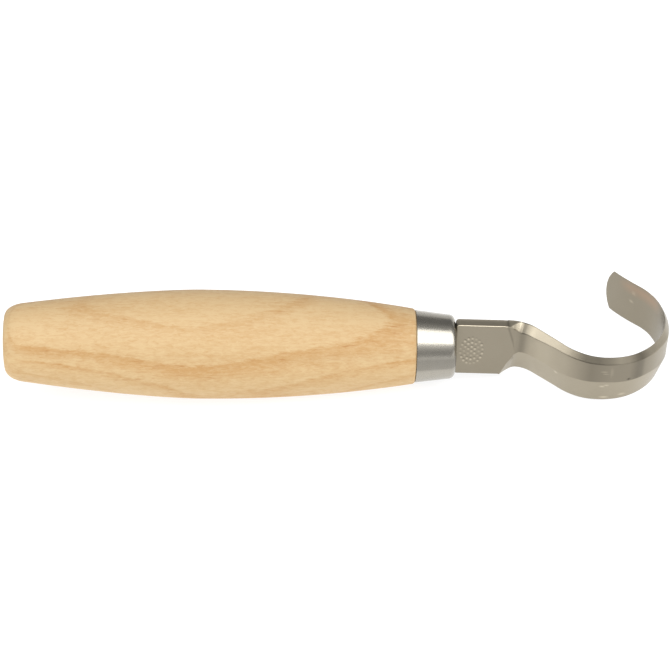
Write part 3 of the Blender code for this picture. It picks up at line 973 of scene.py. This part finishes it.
def ferrule_steel():
    tree, shader, material = new_material("ferrule_steel")
    place = attribute(tree, "knife_mm")
    lines = noise(tree, place, (26.0, 0.5, 0.5), 4.0, 0.6)
    smudge = noise(tree, place, (0.35, 0.35, 0.35), 3.0, 0.6)
    dots = noise(tree, place, (3.2, 3.2, 3.2), 2.0, 0.5)
    share = compute(tree, "MULTIPLY_ADD", lines, 0.6, compute(tree, "MULTIPLY", smudge, 0.5))
    colour = blend_colours(tree, share, FERRULE_LIGHT, FERRULE_DARK)
    # multiply in the painted shade belt
    colour = blend_colours(tree, 1.0, colour, attribute(tree, "painted_reflection"), "MULTIPLY")
    tree.links.new(colour, shader.inputs["Base Color"])
    stains = compute(tree, "ADD", smudge, compute(tree, "MULTIPLY", dots, 0.5))
    roughness = remap(tree, stains, 0.5, 1.0, 0.20, 0.31)
    tree.links.new(roughness, shader.inputs["Roughness"])
    shader.inputs["Metallic"].default_value = 1.0
    shader.inputs["Anisotropic"].default_value = 0.6
    tangent = add_node(tree, "Tangent", direction_type="UV_MAP", uv_map="along")
    tree.links.new(tangent.outputs[0], shader.inputs["Tangent"])
    height = compute(tree, "ADD", lines, compute(tree, "MULTIPLY", dots, 1.6))
    bump = add_node(tree, "Bump", {"Strength": 0.35, "Distance": 0.00002, "Height": height})
    tree.links.new(bump.outputs[0], shader.inputs["Normal"])
    return material


def blade_steel():
    tree, shader, material = new_material("blade_steel")
    strip = attribute(tree, "strip")
    place = attribute(tree, "knife_mm")
    painted_reflection = add_node(tree, "SeparateXYZ", {0: strip}).outputs[2]
    lines = noise(tree, strip, (0.55, 16.0, 0.0), 4.0, 0.65)
    cloud = noise(tree, place, (0.12, 0.12, 0.12), 3.0, 0.55)
    specks = noise(tree, place, (2.6, 2.6, 2.6), 3.0, 0.6)
    colour = blend_colours(tree, lines, BLADE_LIGHT, BLADE_DARK)
    # multiply in the painted reflection and shade that the strip carries
    tones = add_node(tree, "CombineXYZ", {0: painted_reflection, 1: painted_reflection, 2: painted_reflection}).outputs[0]
    colour = blend_colours(tree, 1.0, colour, tones, "MULTIPLY")
    straw = compute(tree, "MULTIPLY", attribute(tree, "temper"), remap(tree, cloud, 0.3, 0.6, 0.35, 0.75))
    colour = blend_colours(tree, straw, colour, BLADE_STRAW)
    colour = blend_colours(tree, remap(tree, cloud, 0.45, 0.75, 0.0, 0.15), colour, BLADE_CLOUD)
    colour = blend_colours(tree, remap(tree, specks, 0.70, 0.80, 0.0, 0.35), colour, BLADE_SPECK)
    tree.links.new(colour, shader.inputs["Base Color"])
    roughness = remap(tree, compute(tree, "ADD", lines, cloud), 0.6, 1.4, 0.26, 0.36)
    tree.links.new(roughness, shader.inputs["Roughness"])
    shader.inputs["Metallic"].default_value = 1.0
    shader.inputs["Anisotropic"].default_value = 0.35
    tangent = add_node(tree, "Tangent", direction_type="UV_MAP", uv_map="along")
    tree.links.new(tangent.outputs[0], shader.inputs["Tangent"])
    height = compute(tree, "ADD", lines, compute(tree, "MULTIPLY", specks, 0.3))
    bump = add_node(tree, "Bump", {"Strength": 0.25, "Distance": 0.00002, "Height": height})
    tree.links.new(bump.outputs[0], shader.inputs["Normal"])
    return material


def resin():
    tree, shader, material = new_material("adhesive")
    place = add_node(tree, "TexCoord").outputs["Object"]
    cloud = noise(tree, place, (300.0, 300.0, 300.0), 3.0)
    colour = blend_colours(tree, cloud, ADHESIVE_LIGHT, ADHESIVE_DARK)
    tree.links.new(colour, shader.inputs["Base Color"])
    tree.links.new(remap(tree, cloud, 0.3, 0.7, 0.35, 0.55), shader.inputs["Roughness"])
    bump = add_node(tree, "Bump", {"Strength": 0.4, "Distance": 0.00005, "Height": cloud})
    tree.links.new(bump.outputs[0], shader.inputs["Normal"])
    return material


def finish_adhesive(node):
    node.data.materials.clear()
    node.data.materials.append(resin())


# Studio


def make_floor():
    mesh = bpy.data.meshes.new("floor")
    corners = [(x * FLOOR_HALF, y * FLOOR_HALF, 0) for x, y in ((-1, -1), (1, -1), (1, 1), (-1, 1))]
    mesh.from_pydata(corners, [], [(0, 1, 2, 3)])
    _, shader, material = new_material("floor_paper")
    shader.inputs["Base Color"].default_value = (FLOOR_TONE, FLOOR_TONE, FLOOR_TONE, 1.0)
    shader.inputs["Roughness"].default_value = 0.9
    shader.inputs["Specular IOR Level"].default_value = 0.0
    shader.inputs["Emission Color"].default_value = (1.0, 1.0, 1.0, 1.0)
    shader.inputs["Emission Strength"].default_value = FLOOR_GLOW
    mesh.materials.append(material)
    floor = bpy.data.objects.new("floor", mesh)
    floor.location.z = -FLOOR_DROP
    bpy.context.scene.collection.objects.link(floor)


def make_world():
    """A plain studio: dim in front, a dark gap behind the softbox and a pale wall at the back."""
    world = bpy.data.worlds.new("studio")
    bpy.context.scene.world = world
    world.use_nodes = True
    tree = world.node_tree
    direction = add_node(tree, "TexCoord").outputs["Generated"]
    parts = add_node(tree, "SeparateXYZ", {0: direction}).outputs
    angle = compute(tree, "ARCTAN2", parts[2], compute(tree, "MULTIPLY", parts[1], -1.0))
    share = compute(tree, "DIVIDE", angle, math.pi, clamp=True)
    tone = ramp(tree, share, [(degrees / 180, radiance / 2) for degrees, radiance in WORLD_TONES])
    background = tree.nodes["Background"]
    tree.links.new(tone, background.inputs["Color"])
    background.inputs["Strength"].default_value = 2.0


def make_softbox():
    light = bpy.data.lights.new("softbox", "AREA")
    light.shape = "RECTANGLE"
    light.size, light.size_y = SOFTBOX_SIZE
    light.energy = SOFTBOX_RADIANCE * math.pi * SOFTBOX_SIZE[0] * SOFTBOX_SIZE[1]
    softbox = bpy.data.objects.new("softbox", light)
    bpy.context.scene.collection.objects.link(softbox)
    towards = Vector((0.0, -math.cos(SOFTBOX_ANGLE), math.sin(SOFTBOX_ANGLE)))
    softbox.location = towards * SOFTBOX_DISTANCE
    softbox.rotation_euler = towards.to_track_quat("Z", "Y").to_euler()


def make_camera():
    camera = bpy.data.objects.new("camera", bpy.data.cameras.new("camera"))
    camera.data.lens = CAMERA_LENS
    bpy.context.scene.collection.objects.link(camera)
    towards = Vector((0.0, -math.cos(CAMERA_ELEVATION), math.sin(CAMERA_ELEVATION)))
    turn = towards.to_track_quat("Z", "Y").to_matrix().to_4x4() @ Matrix.Rotation(CAMERA_ROLL, 4, "Z")
    camera.matrix_world = Matrix.Translation(CAMERA_TARGET + towards * CAMERA_DISTANCE) @ turn
    camera.data.clip_start = 0.01
    bpy.context.scene.camera = camera


with open("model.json") as file:
    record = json.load(file)
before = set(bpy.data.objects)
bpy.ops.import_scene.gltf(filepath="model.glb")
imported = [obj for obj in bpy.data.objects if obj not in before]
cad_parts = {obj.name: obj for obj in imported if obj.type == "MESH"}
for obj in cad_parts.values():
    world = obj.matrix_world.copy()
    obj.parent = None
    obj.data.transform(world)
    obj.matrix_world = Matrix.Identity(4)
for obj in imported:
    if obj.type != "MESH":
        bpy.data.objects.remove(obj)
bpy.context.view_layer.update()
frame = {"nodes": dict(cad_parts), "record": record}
knife = knife_matrix(frame["record"])
make_handle(knife)
make_ferrule(knife)
make_blade(knife)
finish_adhesive(frame["nodes"]["tang_adhesive"])
make_floor()
make_world()
make_softbox()
make_camera()
bpy.context.scene.view_settings.view_transform = "Standard"
